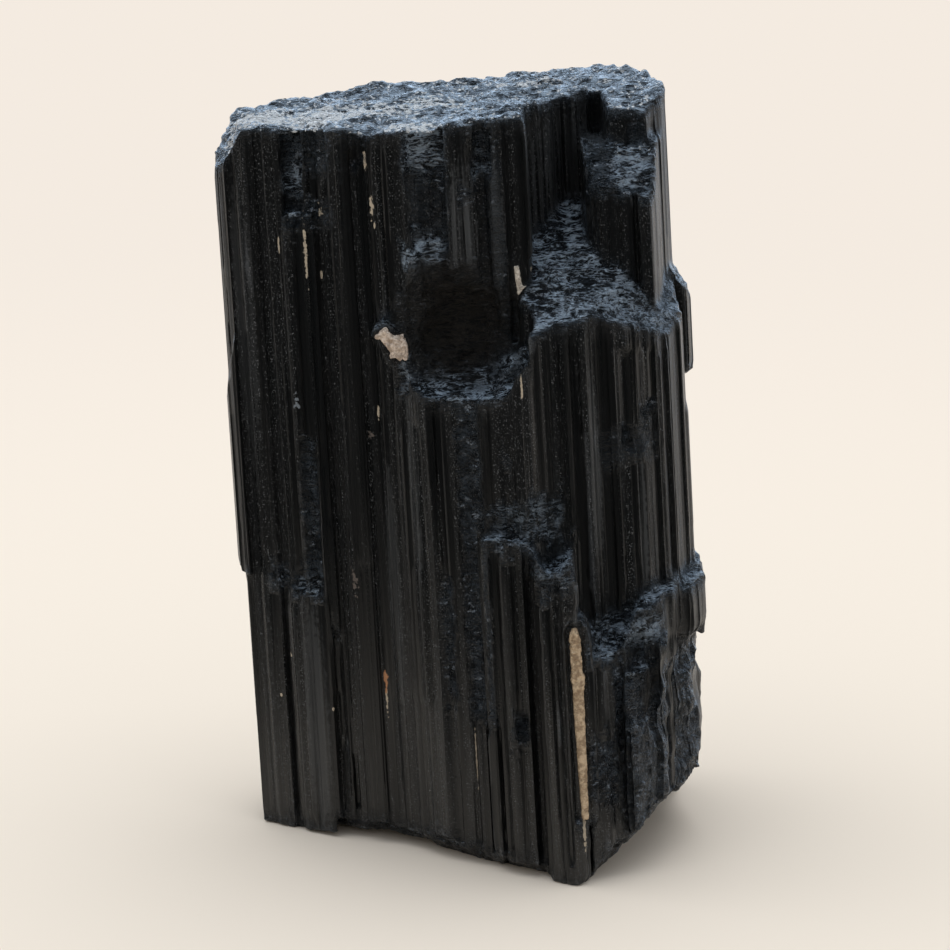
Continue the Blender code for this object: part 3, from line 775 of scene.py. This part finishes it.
def makeFacetGroup():
    # small flat faces, each tipped its own way, as on freshly broken mineral
    group, given, result = newGroup("tippedFaces", [
        ("Place", vectorSocket, None), ("Size", numberSocket, 1.0),
        ("Stretch", vectorSocket, (1.0, 1.0, 1.0)), ("Bend", numberSocket, 0.3)],
        [("Height", numberSocket), ("Pick", numberSocket)])
    often = over(group, 1.0, given["Size"])
    sway = addNode(group, "ShaderNodeTexNoise",
        {"Vector": given["Place"], "Scale": often, "Detail": 3.0, "Roughness": 0.6})
    sway = vectorMath(group, "SUBTRACT", sway.outputs["Color"], (0.5, 0.5, 0.5))
    reach = times(group, given["Size"], times(group, given["Bend"], 4.0))
    sway = addNode(group, "ShaderNodeVectorMath", {0: sway, "Scale": reach}, operation="SCALE").outputs[0]
    drawn = vectorMath(group, "ADD", given["Place"], sway)
    drawn = vectorMath(group, "MULTIPLY", drawn, given["Stretch"])
    cells = addNode(group, "ShaderNodeTexVoronoi", {"Vector": drawn, "Scale": often}, feature="F1")
    shift = vectorMath(group, "SUBTRACT", drawn, cells.outputs["Position"])
    tip = vectorMath(group, "SUBTRACT", cells.outputs["Color"], (0.5, 0.5, 0.5))
    slope = addNode(group, "ShaderNodeVectorMath", {0: shift, 1: tip},
        operation="DOT_PRODUCT").outputs["Value"]
    pick = addNode(group, "ShaderNodeSeparateColor", {0: cells.outputs["Color"]}).outputs[0]
    group.links.new(plus(group, slope, times(group, pick, times(group, given["Size"], 0.15))),
        result["Height"])
    group.links.new(pick, result["Pick"])
    return group


def makeMarkGroup():
    # how far a point lies from a placed streak or spot, where 1 is about its ragged rim
    group, given, result = newGroup("paleMark", [
        ("Place", vectorSocket, None), ("Shrink", vectorSocket, (1, 1, 1)),
        ("Shift", vectorSocket, (0, 0, 0)),
        ("Noise", numberSocket, 0.0), ("Ragged", numberSocket, 0.5)], [("Far", numberSocket)])
    inputs = {0: given["Place"], 1: given["Shrink"], 2: given["Shift"]}
    shrunk = addNode(group, "ShaderNodeVectorMath", inputs, operation="MULTIPLY_ADD").outputs[0]
    far = addNode(group, "ShaderNodeVectorMath", {0: shrunk}, operation="LENGTH").outputs["Value"]
    group.links.new(doMath(group, "MULTIPLY_ADD", given["Noise"], given["Ragged"], far),
        result["Far"])
    return group


def makeEdgeGroup():
    # slightly paler edges: partly wear, partly a painted highlight along the bright edges
    group, given, result = newGroup("wornAndHighlitEdges",
        [("From", numberSocket, 0.52), ("To", numberSocket, 0.62)], [("Mask", numberSocket)])
    bend = addNode(group, "ShaderNodeNewGeometry").outputs["Pointiness"]
    made = addNode(group, "ShaderNodeMapRange",
        {0: bend, 1: given["From"], 2: given["To"]}, clamp=True)
    group.links.new(made.outputs[0], result["Mask"])
    return group


groups = {
    "axes": makeAxisGroup(),
    "striations": makeStriationGroup(),
    "grain": makeGrainGroup(),
    "facets": makeFacetGroup(),
    "mark": makeMarkGroup(),
    "edges": makeEdgeGroup(),
}
print("shader groups built:", len(groups))


def useGroup(tree, name, **inputs):
    made = tree.nodes.new("ShaderNodeGroup")
    made.node_tree = groups[name]
    for key, value in inputs.items():
        socket = made.inputs[key]
        if isinstance(value, bpy.types.NodeSocket):
            tree.links.new(value, socket)
        else:
            socket.default_value = value
    return made.outputs


def placeMark(tree, place, noise, centre, half, ragged):
    # the far value of one mark, from its centre and half sizes in mm
    shrink = [1.0 / size for size in half]
    shift = [-middle / size for middle, size in zip(centre, half)]
    return useGroup(tree, "mark", Place=place, Noise=noise, Shrink=shrink, Shift=shift, Ragged=ragged)["Far"]


def newMaterial(name):
    material = bpy.data.materials.new(name)
    material.use_nodes = True
    tree = material.node_tree
    tree.nodes.clear()
    shader = tree.nodes.new("ShaderNodeBsdfPrincipled")
    tree.links.new(shader.outputs[0], tree.nodes.new("ShaderNodeOutputMaterial").inputs[0])
    return material, tree, shader


# ---- black tourmaline ----

tourmaline = {
    "body": (0.0018, 0.0020, 0.0020, 1),
    "bodyPale": (0.0045, 0.0048, 0.0048, 1),
    "broken": (0.0060, 0.0075, 0.0090, 1),
    "brokenPale": (0.018, 0.023, 0.029, 1),
    # pale bluish: dust on level ground together with painted sky light and painted highlights
    "dustAndSkyLight": (0.40, 0.49, 0.59, 1),
    # painted shade for the hollow, a little paler along its ridges
    "shadedHollow": (0.0045, 0.0042, 0.0036, 1),
    "shadedHollowRidge": (0.021, 0.017, 0.012, 1),
    "powder": (0.95, 0.97, 0.98, 1),
    # painted glint: a pale blue highlight colour for small broken faces
    "paintedGlint": (0.46, 0.53, 0.62, 1),
    # edge colour: wear and painted edge highlight
    "edge": (0.085, 0.092, 0.100, 1),
    # pale specks: dust and painted tiny highlights along the lines
    "dustAndTinyHighlights": (0.120, 0.125, 0.130, 1),
    # relief in mm: tipped faces, crumbs and ridges of broken ground, then the lines and grain of the walls
    "relief": {"faces": 1.1, "smallFaces": 1.0, "crumbs": 0.06, "ridges": 0.60, "lines": 0.050,
        "grain": 0.022},
    "ior": 1.53,
    "smooth": 0.26,
    "dull": 0.25,
    "chalky": 0.85,
    "cream": (0.38, 0.32, 0.24, 1),
    "pink": (0.085, 0.068, 0.058, 1),
    "orange": (0.36, 0.17, 0.08, 1),
    "white": (0.13, 0.15, 0.17, 1),
    "markRim": (1.15, 0.75),  # where a mark begins and where it is full, in half sizes
    "markDepth": 1.6,         # mm, half size from front to back
    # streaks and crumbs: colour, centre u v w, half width and half height in mm, how broken up
    "marks": [
        ("cream", (-13.71, 13.7, 54.8), 0.13, 2.2, 1.0),
        ("cream", (-16.11, 15.3, 55.3), 0.08, 0.73, 0.6),
        ("cream", (-12.44, 13.8, 52.7), 0.10, 0.37, 0.4),
        ("cream", (-7.95, 11.3, 63.1), 0.13, 0.73, 0.6),
        ("cream", (-7.57, 10.7, 59.2), 0.16, 1.0, 0.9),
        ("cream", (-7.42, 10.6, 57.5), 0.10, 0.27, 0.4),
        ("cream", (-12.2, 13.6, 58.3), 0.15, 0.5, 1.6),
        ("orange", (-8.98, 11.8, 15.8), 0.15, 0.85, 0.9),
        ("cream", (-8.96, 11.8, 14.1), 0.11, 1.18, 0.9),
        ("cream", (-18.64, 16.6, 13.7), 0.10, 0.18, 0.4),
        ("cream", (-13.88, 13.5, 13.0), 0.10, 0.18, 0.4),
        ("cream", (-17.47, 16.5, 17.6), 0.09, 0.15, 0.4),
        ("pink", (-11.22, 12.5, 25.1), 0.16, 0.7, 2.4),
        ("cream", (-8.11, 11.3, 40.6), 0.10, 0.68, 0.6),
        ("pink", (-8.85, 11.7, 38.6), 0.20, 0.27, 1.2),
        ("cream", (5.89, 11.8, 55.2), 0.10, 1.64, 0.6),
        ("cream", (5.94, 12.4, 52.7), 0.13, 0.18, 0.4),
        ("cream", (4.6, 3.4, 44.1), 0.09, 1.25, 0.6),
        ("cream", (-1.17, 6.1, 10.2), 0.06, 2.7, 0.5),
        ("cream", (7.99, 0.3, 4.8), 0.11, 1.51, 0.8),
        ("white", (-14.0, 14.9, 63.2), 0.13, 0.46, 1.0),
        ("white", (-15.42, 14.6, 41.2), 0.15, 0.45, 1.8),
    ],
    # painted sheen: faces painted a little paler along their lines, standing in for reflected light: centre u
    # v w, half sizes, how much
    "paintedSheens": [
        ((0.3, 8.0, 55.5), (1.3, 4.0, 7.5), 0.9), ((-4.0, 9.0, 57.0), (0.6, 4.0, 6.0), 0.5),
        ((3.2, 8.6, 57.0), (0.7, 4.0, 6.0), 0.7), ((9.5, 20.0, 58.0), (5.0, 6.0, 8.0), 0.4),
        ((-15.4, 14.3, 12.0), (1.1, 3.0, 11.0), 0.5), ((-19.6, 18.0, 48.0), (1.0, 4.0, 14.0), 0.3),
        ((10.6, 5.0, 36.0), (0.6, 4.0, 9.0), 0.6), ((-7.6, 10.8, 24.0), (0.6, 3.0, 12.0), 0.4),
        ((-5.2, 9.0, 34.0), (0.5, 3.0, 9.0), 0.5), ((14.6, 6.0, 30.0), (0.4, 4.0, 8.0), 0.8)],
    # the painted sheen colour
    "paintedSheen": (0.050, 0.053, 0.055, 1),
}


def makeTourmaline(settings):
    material, tree, shader = newMaterial("blackTourmaline")
    place = useGroup(tree, "axes")["Place"]
    broken, dustAndSkyLight, powder, shadedHollow = (
        addNode(tree, "ShaderNodeAttribute", attribute_name=name).outputs["Fac"]
        for name in ("broken", "dustAndSkyLight", "powder", "shadedHollow"))
    lines = useGroup(tree, "striations", Place=place, Lines=1.1, Length=60.0, Fine=0.6)
    grain = useGroup(tree, "grain", Place=place, Size=0.9, Crumb=0.5)
    smallGrain = useGroup(tree, "grain", Place=place, Size=0.22, Crumb=0.4)
    fineFolds = useGroup(tree, "grain", Place=place, Size=0.42, Crumb=0.4)["Folds"]
    faces = useGroup(tree, "facets", Place=place, Size=0.85, Stretch=(0.5, 1.1, 1.5), Bend=0.35)
    smallFaces = useGroup(tree, "facets", Place=place, Size=0.34, Stretch=(0.55, 1.0, 1.4), Bend=0.35)
    specks = ramp(tree, noiseOf(tree, place, 8.0, 1.0, 0.5), 0.60, 0.71)
    edge = useGroup(tree, "edges", From=0.53, To=0.66)["Mask"]
    rim = times(tree, minus(tree, noiseOf(tree, place, 2.6, 3.0, 0.5), 0.5), 4.0)

    # colour: black prisms with painted sheen on some faces, greyer broken ground with dust and painted sky
    # light, painted glints, edges paler from wear and painted highlight, dust and painted tiny highlights,
    # painted shade in the hollow, white powder
    ground = mixColour(tree, lines["Streaks"], settings["body"], settings["bodyPale"])
    paintedSheenMask = 0.0
    # painted sheen on some faces, broken up along their lines
    for centre, half, amount in settings["paintedSheens"]:
        mask = ramp(tree, placeMark(tree, place, rim, centre, half, 0.3), *settings["markRim"])
        paintedSheenMask = larger(tree, times(tree, mask, amount), paintedSheenMask)
    paintedSheenMask = times(tree, paintedSheenMask, ramp(tree, plus(tree, lines["Facets"], smallGrain["Height"]), 1.0, 1.9))
    ground = mixColour(tree, paintedSheenMask, ground, settings["paintedSheen"])
    rough = mixColour(tree, grain["Mask"], settings["broken"], settings["brokenPale"])
    ridges = plus(tree, times(tree, grain["Folds"], 0.6), times(tree, fineFolds, 0.6))
    patchy = noiseOf(tree, place, 0.55, 3.0, 0.6)
    patchy = plus(tree, ridges, times(tree, minus(tree, patchy, 0.5), 1.3))
    # dust and painted sky light on up-facing broken ground
    paleDustAndSkyLight = times(tree, ramp(tree, patchy, 0.68, 1.15), dustAndSkyLight)
    rough = mixColour(tree, paleDustAndSkyLight, rough, settings["dustAndSkyLight"])
    colour = mixColour(tree, broken, ground, rough)
    # painted glints: a few small broken faces painted pale blue as highlights
    paintedGlintMask = times(tree, ramp(tree, smallFaces["Pick"], 0.86, 0.91), ramp(tree, faces["Pick"], 0.35, 0.75))
    paintedGlintMask = times(tree, times(tree, paintedGlintMask, broken), smallGrain["Mask"])
    colour = mixColour(tree, times(tree, paintedGlintMask, 0.7), colour, settings["paintedGlint"])
    # edges painted paler: wear and painted edge highlight
    worn = times(tree, edge, ramp(tree, smallGrain["Height"], 0.45, 0.85))
    colour = mixColour(tree, times(tree, worn, 0.8), colour, settings["edge"])
    # pale specks along the lighter streaks: dust and painted tiny highlights
    dustAndTinyHighlightMask = times(tree, times(tree, specks, ramp(tree, lines["Streaks"], 0.0, 0.9)), 0.75)
    colour = mixColour(tree, dustAndTinyHighlightMask, colour, settings["dustAndTinyHighlights"])
    # painted shade in the hollow, paler along its ridges
    hollow = mixColour(tree, ramp(tree, fineFolds, 0.25, 0.95), settings["shadedHollow"], settings["shadedHollowRidge"])
    colour = mixColour(tree, shadedHollow, colour, hollow)
    chalk = noiseOf(tree, place, 2.1, 4.0, 0.60)
    chalk = plus(tree, chalk, times(tree, minus(tree, powder, 0.5), 0.30))
    chalk = times(tree, ramp(tree, chalk, 0.515, 0.565), ramp(tree, powder, 0.02, 0.2), clamp=True)
    colour = mixColour(tree, times(tree, chalk, 0.9), colour, settings["powder"])
    nearest = {}
    for tone, centre, halfWide, halfHigh, breakUp in settings["marks"]:
        far = placeMark(tree, place, rim, centre, (halfWide, settings["markDepth"], halfHigh), breakUp)
        nearest[tone] = doMath(tree, "MINIMUM", far, nearest.get(tone, 9.0))
    pale = 0.0
    for tone, far in nearest.items():
        mask = ramp(tree, far, *settings["markRim"])
        colour = mixColour(tree, mask, colour, settings[tone])
        pale = larger(tree, mask, pale)
    tree.links.new(colour, shader.inputs["Base Color"])

    gloss = addNode(tree, "ShaderNodeMapRange",
        {0: lines["Facets"], 1: 0.2, 2: 1.3, 3: settings["smooth"] - 0.05,
        4: settings["smooth"] + 0.14}).outputs[0]
    gloss = addNode(tree, "ShaderNodeMix", {0: broken, 2: gloss, 3: settings["dull"]}).outputs[0]
    matt = larger(tree, larger(tree, chalk, dustAndTinyHighlightMask), larger(tree, pale, times(tree, shadedHollow, 0.5)))
    gloss = addNode(tree, "ShaderNodeMix", {0: matt, 2: gloss, 3: settings["chalky"]}).outputs[0]
    tree.links.new(gloss, shader.inputs["Roughness"])
    shader.inputs["IOR"].default_value = settings["ior"]

    # fine lines along the prisms, tipped faces and grain on broken ground
    relief = settings["relief"]
    crisp = times(tree, faces["Height"], relief["faces"])
    crisp = plus(tree, crisp, times(tree, smallFaces["Height"], relief["smallFaces"]))
    crisp = plus(tree, crisp, times(tree, smallGrain["Height"], relief["crumbs"]))
    crisp = plus(tree, crisp, times(tree, ridges, relief["ridges"]))
    wallGrain = times(tree, smallGrain["Height"], relief["grain"])
    lineHeight = plus(tree, times(tree, lines["Height"], relief["lines"]), wallGrain)
    height = addNode(tree, "ShaderNodeMix", {0: broken, 2: lineHeight, 3: crisp}).outputs[0]
    bump = addNode(tree, "ShaderNodeBump", {"Height": height, "Strength": 1.0, "Distance": mm})
    tree.links.new(bump.outputs[0], shader.inputs["Normal"])
    return material


# ---- feldspar ----

tanFeldspar = {"name": "tanFeldspar", "low": (0.29, 0.20, 0.12, 1), "high": (0.58, 0.44, 0.29, 1),
    "stain": (0.10, 0.085, 0.065, 1), "stainShare": 0.42, "grain": 0.5, "gloss": 0.62}
creamFeldspar = {"name": "creamFeldspar", "low": (0.38, 0.29, 0.22, 1), "high": (0.74, 0.62, 0.52, 1),
    "stain": (0.16, 0.13, 0.11, 1), "stainShare": 0.30, "grain": 0.4, "gloss": 0.66}
paleFeldspar = {"name": "paleFeldspar", "low": (0.42, 0.37, 0.31, 1), "high": (0.68, 0.62, 0.53, 1),
    "stain": (0.12, 0.11, 0.09, 1), "stainShare": 0.34, "grain": 0.35, "gloss": 0.62}


def makeFeldspar(settings):
    material, tree, shader = newMaterial(settings["name"])
    place = useGroup(tree, "axes")["Place"]
    grain = useGroup(tree, "grain", Place=place, Size=settings["grain"], Crumb=0.7)
    fine = useGroup(tree, "grain", Place=place, Size=settings["grain"] * 0.3, Crumb=0.4)
    colour = mixColour(tree, grain["Mask"], settings["low"], settings["high"])
    blot = noiseOf(tree, place, 0.9, 4.0, 0.65)
    colour = mixColour(tree, times(tree, ramp(tree, blot, 0.60, 0.74), settings["stainShare"] * 2), colour,
        settings["stain"])
    tree.links.new(colour, shader.inputs["Base Color"])
    gloss = addNode(tree, "ShaderNodeMapRange",
        {0: fine["Height"], 1: 0.3, 2: 1.1, 3: settings["gloss"] - 0.1,
        4: settings["gloss"] + 0.15}).outputs[0]
    tree.links.new(gloss, shader.inputs["Roughness"])
    height = plus(tree, times(tree, grain["Height"], 0.15), times(tree, fine["Height"], 0.08))
    bump = addNode(tree, "ShaderNodeBump", {"Height": height, "Strength": 1.0, "Distance": mm})
    tree.links.new(bump.outputs[0], shader.inputs["Normal"])
    return material


crystalPiece = makeCrystal(crystal, (seam, patch, strip))
crystalPiece.data.materials.clear()
crystalPiece.data.materials.append(makeTourmaline(tourmaline))
fillings = [
    ("feldsparSeam", seam, tanFeldspar),
    ("feldsparPatch", patch, creamFeldspar),
    ("feldsparStrip", strip, paleFeldspar),
]
for pieceName, shape, finish in fillings:
    piece = makeFilling(pieceName, shape)
    piece.data.materials.clear()
    piece.data.materials.append(makeFeldspar(finish))
print("fillings and materials done")


# ---- floor, light and camera ----

studio = {
    "backdrop": (0.906, 0.831, 0.752, 1),     # warm cream all round
    "table": (0.87, 0.75, 0.62, 1),
    "tableRadius": 1.6,
    # metres from the object, where the table melts into the backdrop
    "fade": (0.06, 0.30),
    "room": (0.72, 0.69, 0.65, 1),
    "mirroredRoom": (0.64, 0.66, 0.67, 1),    # the same room where glossy faces mirror it
    "zenith": (0.50, 0.58, 0.68, 1),
    "mirroredZenith": (0.26, 0.32, 0.39, 1),
    # how squarely behind a mirrored look must go to meet the back window
    "windowEdge": (0.22, 0.80),
    "backWindow": (2.10, 2.75, 3.60, 1),      # the cool light that glossy faces mirror from behind
    "frontDark": (0.030, 0.035, 0.038, 1),    # the dark side of the room, where the camera stands
    "darkSide": (-0.2, -0.98, 0.0),
    # metres from the object, where its mirror image in front turns dark
    "tableDark": (0.024, 0.074),
}


def makeFloor(settings):
    count = 96
    rings = [0.0] + [settings["tableRadius"] * (k / 24) ** 2 for k in range(1, 25)]
    points = [(0, 0, 0)]
    faces = []
    for k, radius in enumerate(rings[1:]):
        for i in range(count):
            turn = 2 * math.pi * i / count
            points.append((radius * math.cos(turn), radius * math.sin(turn), 0))
        start = 1 + k * count
        for i in range(count):
            j = (i + 1) % count
            if k == 0:
                faces.append((0, start + i, start + j))
            else:
                faces.append((start - count + i, start + i, start + j, start - count + j))
    mesh = bpy.data.meshes.new("table")
    mesh.from_pydata(points, [], faces)
    mesh.update()
    floor = bpy.data.objects.new("table", mesh)
    bpy.context.scene.collection.objects.link(floor)

    material = bpy.data.materials.new("paleTable")
    material.use_nodes = True
    tree = material.node_tree
    tree.nodes.clear()
    out = tree.nodes.new("ShaderNodeOutputMaterial")
    spot = addNode(tree, "ShaderNodeTexCoord").outputs["Object"]
    far = addNode(tree, "ShaderNodeVectorMath", {0: spot}, operation="LENGTH").outputs["Value"]
    lit = addNode(tree, "ShaderNodeBsdfDiffuse", {"Color": settings["table"]}).outputs[0]
    glow = addNode(tree, "ShaderNodeEmission", {"Color": settings["backdrop"], "Strength": 1.0}).outputs[0]
    melt = ramp(tree, far, settings["fade"][0], settings["fade"][1])
    plain = addNode(tree, "ShaderNodeMixShader", {0: melt, 1: lit, 2: glow}).outputs[0]
    dark = addNode(tree, "ShaderNodeEmission", {"Color": settings["frontDark"], "Strength": 1.0}).outputs[0]
    facing = addNode(tree, "ShaderNodeVectorMath", {0: spot, 1: settings["darkSide"]},
        operation="DOT_PRODUCT").outputs["Value"]
    front = ramp(tree, over(tree, facing, far), -0.15, 0.15)
    gone = times(tree, front, ramp(tree, far, settings["tableDark"][0], settings["tableDark"][1]))
    mirrored = tree.nodes.new("ShaderNodeLightPath").outputs["Is Glossy Ray"]
    mixed = addNode(tree, "ShaderNodeMixShader",
        {0: times(tree, gone, mirrored), 1: plain, 2: dark}).outputs[0]
    tree.links.new(mixed, out.inputs[0])
    mesh.materials.append(material)


def makeSurroundings(settings):
    world = bpy.data.worlds.new("paleRoom")
    bpy.context.scene.world = world
    world.use_nodes = True
    tree = world.node_tree
    tree.nodes.clear()
    out = tree.nodes.new("ShaderNodeOutputWorld")
    heading = addNode(tree, "ShaderNodeTexCoord").outputs["Generated"]
    way = addNode(tree, "ShaderNodeSeparateXYZ", {0: heading}).outputs
    path = tree.nodes.new("ShaderNodeLightPath").outputs
    mirrored = path["Is Glossy Ray"]
    low = mixColour(tree, mirrored, settings["room"], settings["mirroredRoom"])
    high = mixColour(tree, mirrored, settings["zenith"], settings["mirroredZenith"])
    sky = mixColour(tree, ramp(tree, way["Z"], 0.05, 0.85), low, high)
    behind = times(tree, ramp(tree, way["Y"], *settings["windowEdge"]), mirrored)
    sky = mixColour(tree, behind, sky, settings["backWindow"])
    facing = addNode(tree, "ShaderNodeVectorMath", {0: heading, 1: settings["darkSide"]},
        operation="DOT_PRODUCT").outputs["Value"]
    front = times(tree, ramp(tree, facing, -0.15, 0.15), ramp(tree, way["Z"], 0.92, 0.5))
    sky = mixColour(tree, times(tree, front, mirrored), sky, settings["frontDark"])
    seen = mixColour(tree, path["Is Camera Ray"], sky, settings["backdrop"])
    tree.links.new(addNode(tree, "ShaderNodeBackground", {"Color": seen, "Strength": 1.0}).outputs[0],
        out.inputs[0])


lamps = {
    # place, aim, size in metres, watts, colour
    "skyWindow": ((-0.06, 0.22, 1.0), (0, 0, 0.03), (1.6, 1.4), 10.0, (0.92, 0.96, 1.0)),
    "leftWindow": ((-0.9, 0.1, 0.55), (0, 0, 0.03), (0.6, 0.6), 0.4, (0.92, 0.96, 1.0)),
}


def makeLamp(name, spot, aim, size, watts, colour):
    data = bpy.data.lights.new(name, "AREA")
    data.shape = "RECTANGLE"
    data.size, data.size_y = size
    data.energy = watts
    data.color = colour
    lamp = bpy.data.objects.new(name, data)
    lamp.visible_glossy = False
    bpy.context.scene.collection.objects.link(lamp)
    pointAt(lamp, spot, aim)


def pointAt(thing, spot, aim):
    thing.location = spot
    thing.rotation_euler = (Vector(aim) - Vector(spot)).to_track_quat("-Z", "Y").to_euler()


view = {
    "aim": (-1.87, 10.0, 34.75),   # mm, from the crystal's left edge and front
    "tilt": 14.0,                  # degrees above the level
    "distance": 420.0,             # mm
    "acrossView": 0.088 * 950,     # mm seen across the picture at that distance
    "sensor": 36.0,
}


def makeCamera(settings):
    aim = np.array(settings["aim"])
    aim[:2] -= axisStart[:2] / (leanCos, 1)
    tilt = math.radians(settings["tilt"])
    back = np.array([0, -math.cos(tilt), math.sin(tilt)]) * settings["distance"]
    data = bpy.data.cameras.new("photoView")
    data.sensor_fit = "HORIZONTAL"
    data.sensor_width = settings["sensor"]
    data.lens = settings["sensor"] * settings["distance"] / settings["acrossView"]
    data.clip_start = 0.01
    data.clip_end = 20
    camera = bpy.data.objects.new("photoView", data)
    bpy.context.scene.collection.objects.link(camera)
    pointAt(camera, tuple((aim + back) * mm), tuple(aim * mm))
    bpy.context.scene.camera = camera


makeFloor(studio)
makeSurroundings(studio)
for lampName, (spot, aim, size, watts, colour) in lamps.items():
    makeLamp(lampName, spot, aim, size, watts, colour)
makeCamera(view)
bpy.context.scene.view_settings.view_transform = "Standard"
print("studio done")
